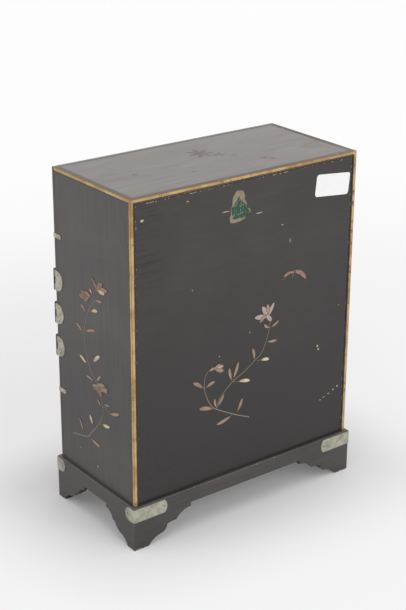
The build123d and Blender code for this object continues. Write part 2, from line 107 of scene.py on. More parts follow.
class ChestLacquerSettings(bpy.types.PropertyGroup):
    """Colours and widths of the lacquer and its gold line"""
    black: tint("Black", "Lacquer in the dark", 39, 35, 34)
    # Grey of the bloom. It also paints in the sheen and reflection that the lit faces show.
    haze: tint("Haze", "Grey bloom on old lacquer", 124, 119, 117)
    aged: tint("Aged lacquer", "Brown patches on the top", 92, 80, 68)
    # The side, back and top amounts are part real bloom and part painted sheen: each face is made as light as
    # the light falling on it.
    side_haze: share("Side haze", "Bloom on the sides", 0.28)
    back_haze: share("Back haze", "Bloom on the back", 0.07)
    top_haze: share("Top haze", "Bloom on the top", 0.78)
    plinth_haze: share("Plinth haze", "Bloom on the plinth", 0.2)
    gilt: tint("Gilt", "Gold line", 212, 178, 118)
    gilt_worn: tint("Worn gilt", "Gold line where it is rubbed", 172, 130, 76)
    crown: tint("Crown gilt", "Gold line on the top, nearly worn away", 84, 66, 46)
    # Dark colour for dirt in the joints and marks. It is also painted shade in the back's joints and at the
    # arris.
    gap: tint("Joint", "Dirt in the joints", 20, 14, 11)
    ground: tint("Ground", "Pale ground in a chip", 196, 176, 152)
    # Partly wear and partly painted highlight on the plinth's top edge.
    arris: tint("Arris", "Worn edge of the plinth", 150, 134, 116)
    wood: tint("Red wood", "Wood at a rubbed foot", 186, 130, 96)
    gilt_width: length("Gilt width", "Width of the gold line on each face", 3.2)
    hairline: length("Hairline", "Rubbed line at the very edge", 0.28)


class ChestPaintingSettings(bpy.types.PropertyGroup):
    """Paints and strokes of the sprays"""
    lift: length("Lift", "Height of the raised paint", 0.14)
    stem_width: length("Stem width", "Width of a stem at its root", 0.9)
    bright: tint("Bright gilt", "Leaves that kept their gold", 226, 214, 176)
    dull: tint("Dull gilt", "Leaves that are rubbed", 172, 150, 126)
    green: tint("Green gilt", "Leaves in green gold", 134, 132, 114)
    red: tint("Red", "Blossoms", 122, 94, 96)
    copper: tint("Copper", "Copper paint", 158, 124, 102)
    blush: tint("Blush", "Open blossom", 190, 172, 162)
    border: tint("Border", "Dark outline of leaves and petals", 78, 58, 49)
    stem: tint("Stem", "Stems", 142, 128, 114)
    leaf_share: share("Leaf width", "Width of a leaf as drawn", 0.6)
    border_width: length("Border width", "Width of the dark outline", 0.6)


class ChestMetalSettings(bpy.types.PropertyGroup):
    """Colours of the mounts, hinges and pulls"""
    white_metal: tint("White metal", "Mounts and hinges", 196, 194, 178)
    tarnish: tint("Tarnish", "Grey-green tarnish", 142, 144, 122)
    # Dirt colour, also used as painted shade on the hinge knuckles.
    dirt: tint("Dirt", "Dirt round nails and edges", 44, 40, 34)
    iron: tint("Iron", "Pulls and pins", 62, 56, 52)
    rust: tint("Rust", "Brown patches on the iron", 92, 60, 42)


class ChestInsideSettings(bpy.types.PropertyGroup):
    """Colours of the plain wood and the labels"""
    wood: tint("Wood", "Pale softwood of the drawers", 170, 142, 106)
    late_wood: tint("Late wood", "Dark lines of the grain", 126, 88, 54)
    paper: tint("Paper", "White label", 253, 253, 253)
    old_paper: tint("Old paper", "Remains of a brown label", 150, 138, 112)
    foil: tint("Foil", "Green foil left on the brown label", 30, 66, 50)
    foil_pale: tint("Pale foil", "Foil that is rubbed through", 112, 138, 120)


class ChestStageSettings(bpy.types.PropertyGroup):
    """Camera, floor and lights"""
    eye: bpy.props.FloatVectorProperty(
        name="Eye", description="Where the camera stands", subtype="TRANSLATION", unit="LENGTH",
        default=(0.8593, 1.1234, 0.7915))
    heading: angle("Heading", "Turn of the camera about the vertical", 142.16)
    pitch: angle("Pitch", "How far the camera looks down", 21.95)
    roll: angle("Roll", "Lean of the camera", 0.48)
    lens: bpy.props.FloatProperty(
        name="Lens", description="Focal length in millimetres", min=20, max=200, default=83.5)
    shift: bpy.props.FloatVectorProperty(
        name="Shift", description="Framing of the photograph", size=2, default=(-0.0208, -0.0082))
    floor: tint("Floor", "Pale floor", 246, 246, 247)
    floor_shade: tint("Floor shade", "Where the floor falls off", 222, 221, 223)
    overhead: power("Overhead", "Strength of the overhead light", 14)
    key: power("Key", "Strength of the light on the back", 16)
    fill: power("Fill", "Strength of the light on the side", 8)
    room: bpy.props.FloatProperty(
        name="Room", description="Light from the room", min=0, max=2, default=0.5)


class Wires:
    """Adds nodes to a shader tree and joins them up."""

    def __init__(self, tree):
        self.tree = tree

    def add(self, kind, feeds=(), **settings):
        """A node with its settings, and a value or a socket for each input in feeds."""
        node = self.tree.nodes.new(kind)
        for name, value in settings.items():
            setattr(node, name, value)
        for key, value in dict(feeds).items():
            self.feed(node.inputs[key], value)
        return node

    def feed(self, socket, value):
        """Joins a socket to an input, or sets the input to a plain value."""
        if isinstance(value, bpy.types.NodeSocket):
            self.tree.links.new(value, socket)
        else:
            socket.default_value = value

    def calculate(self, operation, first, second=0.5, third=0.5, clamp=False):
        """A Math node's result."""
        feeds = {0: first, 1: second, 2: third}
        return self.add("ShaderNodeMath", feeds, operation=operation, use_clamp=clamp).outputs[0]

    def plus(self, first, second):
        return self.calculate("ADD", first, second)

    def less(self, first, second):
        return self.calculate("SUBTRACT", first, second)

    def times(self, first, second, clamp=False):
        return self.calculate("MULTIPLY", first, second, clamp=clamp)

    def scaled(self, value, by, start):
        """A value times by, plus start."""
        return self.calculate("MULTIPLY_ADD", value, by, start)

    def larger(self, first, second):
        return self.calculate("MAXIMUM", first, second)

    def split(self, vector):
        """The x, y and z of a vector."""
        return self.add("ShaderNodeSeparateXYZ", {0: vector}).outputs

    def vector(self, operation, first, second=(0, 0, 0)):
        """A Vector Math node's result."""
        return self.add("ShaderNodeVectorMath", {0: first, 1: second}, operation=operation).outputs[0]

    def size(self, vector):
        """How long a vector is."""
        return self.add("ShaderNodeVectorMath", {0: vector}, operation="LENGTH").outputs["Value"]

    def step(self, value, start, end, low=0.0, high=1.0):
        """low before start, high after end and a smooth change between them."""
        feeds = {"Value": value, "From Min": start, "From Max": end, "To Min": low, "To Max": high}
        return self.add("ShaderNodeMapRange", feeds, interpolation_type="SMOOTHSTEP").outputs["Result"]

    def mix(self, amount, under, over):
        """One colour over another. Their inputs are the Mix node's seventh and eighth."""
        return self.add("ShaderNodeMix", {0: amount, 6: under, 7: over}, data_type="RGBA").outputs[2]

    def noise(self, place, scale, detail=4.0, rough=0.5, distortion=0.0):
        """Cloudy noise."""
        feeds = {"Vector": place, "Scale": scale, "Detail": detail, "Roughness": rough,
                 "Distortion": distortion}
        return self.add("ShaderNodeTexNoise", feeds).outputs["Fac"]


def effect(name, takes, gives):
    """A new node group with named inputs and outputs: its wires, its inputs and its output node."""
    tree = bpy.data.node_groups.new(name, "ShaderNodeTree")
    for title, kind, value in takes:
        socket = tree.interface.new_socket(title, in_out="INPUT", socket_type=f"NodeSocket{kind}")
        if value is not None:
            socket.default_value = value
    for title in gives:
        tree.interface.new_socket(title, in_out="OUTPUT", socket_type="NodeSocketFloat")
    wires = Wires(tree)
    return wires, wires.add("NodeGroupInput").outputs, wires.add("NodeGroupOutput").inputs


def board_figure():
    """Fine streaks along a board and broad patches over it."""
    takes = (("Place", "Vector", None), ("Stretch", "Vector", (1, 1, 1)), ("Fineness", "Float", 300.0))
    wires, taken, given = effect("Board figure", takes, ("Streak", "Patch"))
    drawn = wires.vector("MULTIPLY", taken["Place"], taken["Stretch"])
    streak = wires.noise(drawn, taken["Fineness"], 5, 0.6)
    patch = wires.noise(taken["Place"], 11, 4, 0.55, 0.4)
    wires.feed(given["Streak"], wires.step(streak, 0.3, 0.7))
    wires.feed(given["Patch"], wires.step(patch, 0.3, 0.7))
    return wires.tree


def edge_reach():
    """How far a point of a box's face lies from the box's nearest edge, in millimetres."""
    takes = (("Place", "Vector", None), ("Low", "Vector", None), ("High", "Vector", None))
    wires, taken, given = effect("Edge reach", takes, ("Reach",))
    inside = wires.vector(
        "MINIMUM",
        wires.vector("SUBTRACT", taken["Place"], taken["Low"]),
        wires.vector("SUBTRACT", taken["High"], taken["Place"]))
    x, y, z = wires.split(inside)
    least = wires.calculate("MINIMUM", x, y)
    middle = wires.larger(least, wires.calculate("MINIMUM", wires.larger(x, y), z))
    wires.feed(given["Reach"], wires.times(middle, 1 / MM))
    return wires.tree


def gilt_line():
    """A hand-laid gold line along an edge, with its rubbed places."""
    takes = (("Place", "Vector", None), ("Reach", "Float", 0.0), ("Width", "Float", 3.0),
             ("Hairline", "Float", 0.4), ("Wear", "Float", 0.4))
    wires, taken, given = effect("Gilt line", takes, ("Line", "Bed", "Rub"))
    wobble = wires.scaled(wires.noise(taken["Place"], 420, 3), 0.9, -0.45)
    reach = wires.plus(taken["Reach"], wobble)
    outer = wires.step(wires.less(taken["Width"], reach), 0.0, 0.3)
    rim = wires.step(wires.less(taken["Reach"], taken["Hairline"]), -0.1, 0.15)
    worn = wires.noise(taken["Place"], 130, 6, 0.65)
    kept = wires.step(wires.plus(worn, wires.times(taken["Wear"], -0.35)), 0.12, 0.3)
    bed = wires.times(outer, rim)
    wires.feed(given["Line"], wires.times(bed, kept))
    wires.feed(given["Bed"], bed)
    wires.feed(given["Rub"], wires.step(wires.noise(taken["Place"], 60, 5, 0.6), 0.35, 0.72))
    return wires.tree


def flakes():
    """Small chips scattered over a face and along its edges."""
    takes = (("Place", "Vector", None), ("Reach", "Float", 9.0), ("Amount", "Float", 0.1))
    wires, taken, given = effect("Flakes", takes, ("Face", "Edge"))
    swirl = wires.add("ShaderNodeTexNoise", {"Vector": taken["Place"], "Scale": 700.0}).outputs["Color"]
    shift = wires.add("ShaderNodeVectorMath", {0: swirl, "Scale": 1.2 * MM}, operation="SCALE").outputs[0]
    bent = wires.vector("ADD", taken["Place"], shift)
    cells = wires.add("ShaderNodeTexVoronoi", {"Vector": bent, "Scale": 70.0})
    chosen = wires.add("ShaderNodeSeparateColor", {0: cells.outputs["Color"]}).outputs
    wanted = wires.calculate("LESS_THAN", chosen[0], taken["Amount"])
    radius = wires.scaled(chosen[1], 0.035, 0.015)
    dot = wires.step(wires.less(radius, cells.outputs["Distance"]), 0.0, 0.012)
    wires.feed(given["Face"], wires.times(dot, wanted))
    near = wires.step(taken["Reach"], 0.3, 1.1, 1.0, 0.0)
    bite = wires.step(wires.noise(taken["Place"], 260, 5, 0.65), 0.6, 0.66)
    wires.feed(given["Edge"], wires.times(near, bite))
    return wires.tree


def spot():
    """One ragged mark at a place."""
    takes = (("Place", "Vector", None), ("Centre", "Vector", None), ("Size", "Vector", (1, 1, 1)),
             ("Ragged", "Float", 0.5))
    wires, taken, given = effect("Spot", takes, ("Mark",))
    away = wires.vector("DIVIDE", wires.vector("SUBTRACT", taken["Place"], taken["Centre"]), taken["Size"])
    rag = wires.times(wires.noise(taken["Place"], 900, 4, 0.6), taken["Ragged"])
    mark = wires.step(wires.plus(wires.size(away), rag), 1.25, 0.85)
    wires.feed(given["Mark"], mark)
    return wires.tree


def floret():
    """A small star of petals painted flat on the top."""
    takes = (("Place", "Vector", None), ("Centre", "Vector", None), ("Radius", "Float", 0.01),
             ("Petals", "Float", 6.0), ("Turn", "Float", 0.0))
    wires, taken, given = effect("Floret", takes, ("Mark",))
    away = wires.vector("SUBTRACT", taken["Place"], taken["Centre"])
    x, y, _ = wires.split(away)
    half = wires.times(taken["Petals"], 0.5)
    turned = wires.scaled(wires.calculate("ARCTAN2", y, x), half, taken["Turn"])
    wave = wires.calculate("POWER", wires.calculate("ABSOLUTE", wires.calculate("COSINE", turned)), 1.1)
    edge = wires.times(taken["Radius"], wires.scaled(wave, 0.75, 0.25))
    flat = wires.size(wires.vector("MULTIPLY", away, (1, 1, 0)))
    inside = wires.step(wires.less(edge, flat), -0.8 * MM, 1.2 * MM)
    rubbed = wires.step(wires.noise(taken["Place"], 300, 5, 0.7), 0.3, 0.5, 0.55, 1.0)
    wires.feed(given["Mark"], wires.times(inside, rubbed))
    return wires.tree


def use(wires, make, **feeds):
    """Places a shared effect in a material, building it the first time."""
    name = make.__name__.replace("_", " ").capitalize()
    tree = bpy.data.node_groups.get(name) or make()
    node = wires.add("ShaderNodeGroup", node_tree=tree)
    for key, value in feeds.items():
        wires.feed(node.inputs[key], value)
    return node.outputs


def blank_material(name):
    """A new material: its wires, its shader and the place on the object."""
    material = bpy.data.materials.new(name)
    material.use_nodes = True
    wires = Wires(material.node_tree)
    shader = material.node_tree.nodes["Principled BSDF"]
    place = wires.add("ShaderNodeTexCoord").outputs["Object"]
    return material, wires, shader, place


def coat(wires, shader, colour, rough, relief, depth, strength, metal=0.0):
    """Feeds a shader its colour, roughness and relief, whose depth is in metres."""
    bump = wires.add("ShaderNodeBump", {"Strength": strength, "Distance": depth, "Height": relief})
    for key, value in (("Base Color", colour), ("Roughness", rough), ("Metallic", metal),
                       ("Normal", bump.outputs["Normal"])):
        wires.feed(shader.inputs[key], value)


def lacquer(name, low, high, haze, stretch, marks=(), florets=(), flake=0.07, gilt=True, rub_foot=False,
            let_in=False, wear=0.4, light_fall=(1.0, 1.0), aged=0.0):
    """Old black lacquer on a board, with a gold line round the box from low to high.

    The fall-off pair scales the haze at the case's foot and at its top. This is painted light, so that a face is
    lighter high up. let_in is for a board set between others.
    Lengths that are measured from an edge, such as reach, are in millimetres.
    """
    look = bpy.context.scene.chest_lacquer
    material, wires, shader, place = blank_material(name)
    figure = use(wires, board_figure, Place=place, Stretch=stretch, Fineness=260.0)
    reach = use(wires, edge_reach, Place=place, Low=low, High=high)["Reach"]
    x, y, z = wires.split(place)
    cloud = wires.scaled(figure["Patch"], 0.5, 0.75)
    streaks = wires.scaled(figure["Streak"], 0.3, 0.85)
    foot_level, top_level = 50 * MM, 360 * MM
    # Painted light: the haze grows towards the top of the case, so a face is lighter high up. It is part bloom
    # and part painted sheen.
    haze_and_light_rise = wires.step(z, foot_level, top_level, haze * light_fall[0], haze * light_fall[1])
    bloom_and_sheen = wires.times(wires.times(cloud, streaks), haze_and_light_rise, clamp=True)
    colour = wires.mix(bloom_and_sheen, look.black, look.haze)
    if aged:
        brown = wires.noise(wires.vector("MULTIPLY", place, (0.3, 1, 1)), 34, 5, 0.62, 0.6)
        colour = wires.mix(wires.step(brown, 0.42, 0.72, 0.0, aged), colour, look.aged)
        scuffs = wires.noise(wires.vector("MULTIPLY", place, (0.12, 1, 1)), 210, 4, 0.65)
        colour = wires.mix(wires.step(scuffs, 0.56, 0.74, 0.0, aged * 0.7), colour, look.black)
    rough = wires.scaled(figure["Patch"], 0.12, 0.27)
    relief = wires.times(figure["Streak"], 0.35)
    metal, bare = 0.0, 0.0
    if let_in:
        tooled_across, tooled_up = (97 * MM, 127 * MM), (270 * MM, 310 * MM)
        strokes = wires.noise(wires.vector("MULTIPLY", place, (14, 14, 420)), 1.0, 3, 0.6)
        there = wires.times(wires.step(x, *tooled_across), wires.step(z, *tooled_up))
        dark = wires.times(wires.step(strokes, 0.5, 0.62), there)
        colour = wires.mix(wires.times(dark, 0.55), colour, look.gap)
        relief = wires.less(relief, wires.times(dark, 0.6))
        # Painted shade and dirt: a dark line along the board's joints with the sides, the top and the plinth.
        joint_end = 1.3
        colour = wires.mix(wires.step(reach, 0.7, joint_end, 0.85, 0.0), colour, look.gap)
        rim = wires.times(wires.step(reach, 0.9, joint_end), wires.step(reach, 1.7, 2.5, 1.0, 0.0))
        bites = wires.step(wires.noise(place, 430, 4, 0.6), 0.58, 0.62)
        more_above = wires.step(z, 240 * MM, top_level, 0.12, 0.85)
        bare = wires.times(wires.times(rim, bites), more_above)
    for centre, size in florets:
        petals = 7.0 if size > LARGE_FLORET else 5.0
        turn = centre[0] * 50  # by its place, so that no two stand alike
        mark = use(wires, floret, Place=place, Centre=centre, Radius=size, Petals=petals, Turn=turn)["Mark"]
        colour = wires.mix(wires.times(mark, 0.9), colour, shade(66, 46, 38))
    if gilt:
        on_top = wires.step(z, high[2] - 0.4 * MM, high[2] - 0.1 * MM)
        width = wires.scaled(on_top, look.gilt_width * 0.8 / MM, look.gilt_width / MM)
        line = use(wires, gilt_line, Place=place, Reach=reach, Width=width, Hairline=look.hairline / MM,
                   Wear=wear)
        gold = wires.mix(line["Rub"], look.gilt, look.gilt_worn)
        gold = wires.mix(on_top, gold, look.crown)
        depth = wires.less(y, low[1])  # metres behind the front face, which alone has a line on that edge
        plain = wires.less(wires.step(depth, 0.1 * MM, 0.2 * MM),
                           wires.step(depth, look.gilt_width, look.gilt_width * 1.15))
        gilded = wires.less(1.0, plain)
        kept = wires.times(line["Line"], gilded)
        past = wires.less(reach, width)
        outline = wires.times(wires.step(past, -0.3, 0.0), wires.step(past, 0.7, 1.2, 1.0, 0.0))
        colour = wires.mix(wires.times(outline, 0.8), colour, look.gap)
        # At the very arris there is a pale line of rubbed gilt that is also a painted edge highlight. Outside it
        # is a dark line of painted arris shade.
        colour = wires.mix(wires.step(reach, 0.5, 0.2, 0.0, 0.45), colour, look.gilt_worn)
        colour = wires.mix(wires.step(reach, 0.3, 0.1, 0.0, 0.5), colour, look.gap)
        colour = wires.mix(wires.times(line["Bed"], gilded), colour, look.crown)
        colour = wires.mix(kept, colour, gold)
        metal = wires.times(kept, wires.scaled(on_top, -0.25, 0.35))
        rough = wires.scaled(kept, 0.12, rough)
        relief = wires.scaled(kept, 0.4, relief)
    chips = use(wires, flakes, Place=place, Reach=reach, Amount=flake)
    bare = wires.larger(wires.larger(chips["Face"], wires.times(chips["Edge"], 0.6)), bare)
    for centre, size in marks:
        bare = wires.larger(bare, use(wires, spot, Place=place, Centre=centre, Size=size)["Mark"])
    ground = look.ground
    if rub_foot:
        # The pale line along the plinth's top outer edge is partly wear and partly painted highlight.
        top_edge_wear_and_highlight = wires.times(wires.step(z, high[2] - 0.6 * MM, high[2] - 0.3 * MM),
                               wires.step(reach, 0.3, 0.7, 0.5, 0.0))
        unevenly = wires.step(wires.noise(place, 90, 4), 0.3, 0.6, 0.35, 1)
        colour = wires.mix(wires.times(top_edge_wear_and_highlight, unevenly), colour, look.arris)
        low_down = wires.step(z, 0.4 * MM, 1.5 * MM, 1.0, 0.0)
        near_corner = wires.step(reach, 3.0, 11.0, 1.0, 0.0)
        rubbed = wires.times(wires.times(low_down, near_corner),
                             wires.step(wires.noise(place, 140, 5, 0.6), 0.42, 0.55))
        bare = wires.larger(bare, rubbed)
        ground = wires.mix(low_down, look.ground, look.wood)
    colour = wires.mix(bare, colour, ground)
    rough = wires.scaled(bare, 0.3, rough)
    shader.inputs["IOR"].default_value = 1.5
    coat(wires, shader, colour, rough, wires.less(relief, bare), 0.12 * MM, 0.7, metal)
    return material


def white_metal(name, tarnish_amount, grime=0.0):
    """Old nickel sheet, tarnished grey-green, with painted shade that makes it nearly black round the hinge
    pins, and hammered a little.
    """
    look = bpy.context.scene.chest_metal
    material, wires, shader, place = blank_material(name)
    cloud = wires.step(wires.noise(place, 90, 6, 0.62, 0.6), 0.34, 0.7)
    speck = wires.step(wires.noise(place, 520, 4, 0.6), 0.6, 0.72)
    brushed = wires.noise(wires.vector("MULTIPLY", place, (1, 1, 12)), 260, 4, 0.6)
    colour = wires.mix(wires.times(cloud, tarnish_amount), look.white_metal, look.tarnish)
    colour = wires.mix(wires.times(speck, 0.45), colour, look.dirt)
    rough = wires.scaled(cloud, 0.18, wires.scaled(brushed, 0.2, 0.3))
    pins_low, pins_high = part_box("hinge_pins")
    radius = (pins_high.y - pins_low.y) / 2
    axis = (pins_high.x - radius, pins_low.y + radius, 0)
    x, y, _ = wires.split(place)
    mirrored = wires.add("ShaderNodeCombineXYZ", {0: wires.calculate("ABSOLUTE", x), 1: y, 2: 0.0})
    away = wires.size(wires.vector("SUBTRACT", mirrored.outputs[0], axis))
    # Painted shade: the knuckles round the hinge pins are darkened nearly to black, because they stand in shade.
    knuckle_shade = wires.step(away, KNUCKLE_REACH, KNUCKLE_REACH + 0.2 * MM, 0.93, 0.0)
    colour = wires.mix(wires.larger(knuckle_shade, grime), colour, look.dirt)
    coat(wires, shader, colour, rough, wires.plus(cloud, wires.times(brushed, 0.3)), 0.08 * MM, 0.6, 0.7)
    return material


def dark_iron(name):
    """Blackened iron with brown patches."""
    look = bpy.context.scene.chest_metal
    material, wires, shader, place = blank_material(name)
    patch = wires.step(wires.noise(place, 210, 6, 0.65), 0.46, 0.68)
    pits = wires.noise(place, 1400, 3, 0.6)
    colour = wires.mix(wires.times(patch, 0.35), look.iron, look.rust)
    coat(wires, shader, colour, wires.scaled(patch, 0.25, 0.4), pits, 0.06 * MM, 0.5, 0.8)
    return material


def plain_wood(name, stretch):
    """Planed softwood, its grain drawn out along the board."""
    look = bpy.context.scene.chest_inside
    material, wires, shader, place = blank_material(name)
    heart = (0.13, 0.05, 0.31)  # metres from the chest to the middle of the log
    rings_per_metre = 204.0
    drawn = wires.vector("MULTIPLY", place, stretch)
    wander = wires.noise(drawn, 9, 3, 0.5)
    rings_at = wires.plus(wires.size(wires.vector("ADD", drawn, heart)), wires.times(wander, 0.05))
    ring = wires.calculate("FRACT", wires.times(rings_at, rings_per_metre))
    late = wires.step(ring, 0.55, 0.98)
    fibre = wires.noise(drawn, 700, 4, 0.6)
    colour = wires.mix(wires.times(late, 0.45), look.wood, look.late_wood)
    colour = wires.mix(wires.step(fibre, 0.45, 0.75, 0.0, 0.35), colour, look.late_wood)
    colour = wires.mix(wires.step(wires.noise(place, 14, 4), 0.5, 0.8, 0.0, 0.4), colour, shade(120, 92, 66))
    coat(wires, shader, colour, wires.scaled(fibre, 0.2, 0.55),
         wires.plus(fibre, wires.times(late, 0.5)), 0.15 * MM, 0.5)
    return material


def paint(name, colour, second, metal):
    """Raised gilt or coloured paint, rubbed unevenly."""
    material, wires, shader, place = blank_material(name)
    patch = wires.step(wires.noise(place, 180, 5, 0.6), 0.38, 0.66)
    grains = wires.noise(place, 2600, 2, 0.5)
    mixed = wires.mix(wires.times(patch, 0.7), colour, second)
    mixed = wires.mix(wires.step(grains, 0.56, 0.7, 0.0, 0.3), mixed, shade(60, 50, 42))
    coat(wires, shader, mixed, wires.scaled(grains, 0.2, 0.34), grains, 0.04 * MM, 0.6, metal)
    return material


def in_metres(marks):
    """Marks written in millimetres, as a centre and a size each."""
    return [(Vector(centre) * MM, Vector(size) * MM) for centre, size in marks]


def facing(way):
    """A turn that points the z axis along way."""
    return Vector(way).to_track_quat("Z", "Y").to_matrix().to_4x4()


def edges_of(points):
    """Every edge that meets the points."""
    return list({edge for point in points for edge in point.link_edges})


def thicken(mesh, way):
    """Pulls a flat sheet out to a thickness."""
    grown = bmesh.ops.extrude_face_region(mesh, geom=mesh.faces[:])["geom"]
    bmesh.ops.translate(mesh, verts=[v for v in grown if isinstance(v, bmesh.types.BMVert)], vec=way)


def set_finish(nodes, material):
    """Gives CAD nodes their material."""
    for node in nodes:
        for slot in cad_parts[node].material_slots:
            slot.material = material


def piece_from(mesh, name, body, materials, replaced=(), smooth=True, merge=True):
    """Turns a bmesh into a finished piece that rides on a body."""
    if merge:
        bmesh.ops.remove_doubles(mesh, verts=mesh.verts, dist=1e-7)
    bmesh.ops.recalc_face_normals(mesh, faces=mesh.faces)
    data = bpy.data.meshes.new(name)
    mesh.to_mesh(data)
    mesh.free()
    for material in materials:
        data.materials.append(material)
    for face in data.polygons:
        face.use_smooth = smooth
    piece = bpy.data.objects.new(name, data)
    bpy.context.scene.collection.objects.link(piece)
    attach(piece, body)
    if replaced:
        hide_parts(*replaced)
    return piece


class CHEST_OT_lacquer_case(bpy.types.Operator):
    """Lacquers the case, its inside boards and the doors and drawer fronts"""
    bl_idname = "chest.lacquer_case"
    bl_label = "Lacquer the case"

    def execute(self, context):
        look = context.scene.chest_lacquer
        low = CASE_LOW - Vector((0, 0, FAR))
        high = CASE_HIGH
        # Painted light: the sides' haze is weaker at the foot and stronger at the top.
        side_light_fall = (0.8, 1.15)
        joint_shade_drop = 0.5 * MM  # the back's dark joint along the plinth, painted shade and dirt
        spots = [  # chips and scratches, each as its centre and its reach in millimetres
            ((131.4, 71, 357), (2.4, 3, 1.6)), ((-100, 71, 166), (1.5, 3, 1.5)),
            ((-101.5, 71, 162), (1.7, 3, 1.3)), ((-107, 71, 98.5), (1.2, 3, 0.8)),
            ((-112, 71, 100.5), (1.6, 3, 0.6)), ((-119, 71, 103), (1.8, 3, 0.7)),
            ((-126, 71, 106), (1.2, 3, 1.2)), ((-132, 71, 108.5), (1.2, 3, 1.3)),
            ((-45, 71, 317.5), (1.4, 3, 0.7)), ((-56, 71, 298), (0.5, 3, 3.0)),
            ((77, 71, 366), (1.4, 3, 0.8)), ((30, 71, 346.2), (5.5, 3, 0.55)),
            ((-13.5, 71, 336.6), (5.0, 3, 0.6)),
            ((-4, 71, 207), (0.8, 3, 0.8)), ((36, 71, 190), (0.7, 3, 0.8)),
        ]
        side_spots = [((145, 3, 67), (3, 1.0, 1.4)), ((145, -30, 76), (3, 0.8, 0.8))]
        stars = [((-4.7, -17.9), 15), ((-18.2, -2.9), 8), ((-48.9, 33.8), 5), ((-55.7, 40.1), 5.5),
                 ((-30, 8), 4), ((94.2, 5.2), 4), ((40, 30), 3)]
        stars = [((x * MM, y * MM, high.z), radius * MM) for (x, y), radius in stars]
        side = lacquer("case_side_lacquer", low, high, look.side_haze, ALONG_Z, in_metres(side_spots),
                       light_fall=side_light_fall)
        top = lacquer("case_top_lacquer", low, high, look.top_haze, ALONG_X, florets=stars, aged=0.5)
        back_low, back_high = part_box("case_back")
        back_low = Vector((back_low.x, -FAR, PLINTH_HIGH.z - joint_shade_drop))
        # The back's haze and painted sheen all but vanish at the foot and grow towards the top, as painted
        # light.
        back = lacquer("case_back_lacquer", back_low, back_high, look.back_haze, (0.12, 1, 1),
                       in_metres(spots), let_in=True, gilt=False, light_fall=(0.1, 1.7))
        inner = lacquer("inner_lacquer", low, high, look.back_haze, ALONG_X, gilt=False, flake=0.02)
        worn_side = lacquer("case_side_left_lacquer", low, high, look.side_haze, ALONG_Z, light_fall=side_light_fall,
                            wear=0.55)
        for node, finish in (("case_side_right", side), ("case_side_left", worn_side), ("case_top", top),
                             ("case_back", back)):
            set_finish((node,), finish)
        set_finish(("case_bottom", "lower_rail_board", "upper_rail_board", "drawer_partition", "shelf",
                    "door_stops"), inner)
        for node in ("door_right", "door_left", "bottom_drawer_front", "top_drawer_right_front",
                     "top_drawer_left_front"):
            corner, far_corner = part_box(node)
            streaks = ALONG_Z if node.startswith("door") else (0.05, 1, 1)
            set_finish((node,), lacquer(f"{node}_lacquer", corner, far_corner + Vector((0, FAR, 0)),
                                        look.side_haze * 0.6, streaks))
        return {"FINISHED"}


class CHEST_OT_lacquer_plinth(bpy.types.Operator):
    """Lacquers the plinth and rubs its feet"""
    bl_idname = "chest.lacquer_plinth"
    bl_label = "Lacquer the plinth"

    def execute(self, context):
        look = context.scene.chest_lacquer
        finish = lacquer("plinth_lacquer", PLINTH_LOW, PLINTH_HIGH, look.plinth_haze, (0.06, 0.06, 1),
                         gilt=False, rub_foot=True, flake=0.1)
        set_finish(("plinth_front", "plinth_back", "plinth_right", "plinth_left"), finish)
        return {"FINISHED"}


class CHEST_OT_plain_wood(bpy.types.Operator):
    """Gives the drawers, cleats and glue blocks plain planed wood"""
    bl_idname = "chest.plain_wood"
    bl_label = "Plain wood inside"

    def execute(self, context):
        deep = plain_wood("wood_front_to_back", (1, 0.06, 1))
        wide = plain_wood("wood_side_to_side", (0.06, 1, 1))
        upright = plain_wood("wood_upright", (1, 1, 0.06))
        for drawer in ("bottom_drawer", "top_drawer_right", "top_drawer_left"):
            set_finish((f"{drawer}_side_left", f"{drawer}_side_right"), deep)
            set_finish((f"{drawer}_back", f"{drawer}_floor"), wide)
        set_finish(("shelf_cleats",), deep)
        set_finish(("corner_blocks",), upright)
        return {"FINISHED"}


class CHEST_OT_metalwork(bpy.types.Operator):
    """Gives the mounts, straps, hinges, posts and pins old white metal or iron"""
    bl_idname = "chest.metalwork"
    bl_label = "Mounts and hinges"

    def execute(self, context):
        plate = white_metal("mount_white_metal", 0.8)
        leaf = white_metal("hinge_white_metal", 0.85)
        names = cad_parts
        starts = ("hinge_side", "hinge_door_leaves", "hinge_door_nails", "edge_straps", "ring_post")
        ends = ("_posts", "_posts_right", "_posts_left", "_nails")
        set_finish([n for n in names if n.startswith("plinth_mount")], plate)
        set_finish([n for n in names if n.startswith(starts) or n.endswith(ends)], leaf)
        set_finish(["hinge_pins"], dark_iron("pin_iron"))
        return {"FINISHED"}


def loose_parts(node):
    """The lowest and highest corner of each separate solid of a CAD node."""
    mesh = bmesh.new()
    mesh.from_mesh(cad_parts[node].data)
    bmesh.ops.remove_doubles(mesh, verts=mesh.verts, dist=1e-6)
    left = set(mesh.verts)
    parts = []
    while left:
        group, front = set(), [left.pop()]
        while front:
            vertex = front.pop()
            group.add(vertex)
            for edge in vertex.link_edges:
                other = edge.other_vert(vertex)
                if other in left:
                    left.remove(other)
                    front.append(other)
        spread = list(zip(*(vertex.co for vertex in group)))
        parts.append((Vector(map(min, spread)), Vector(map(max, spread))))
    mesh.free()
    return parts


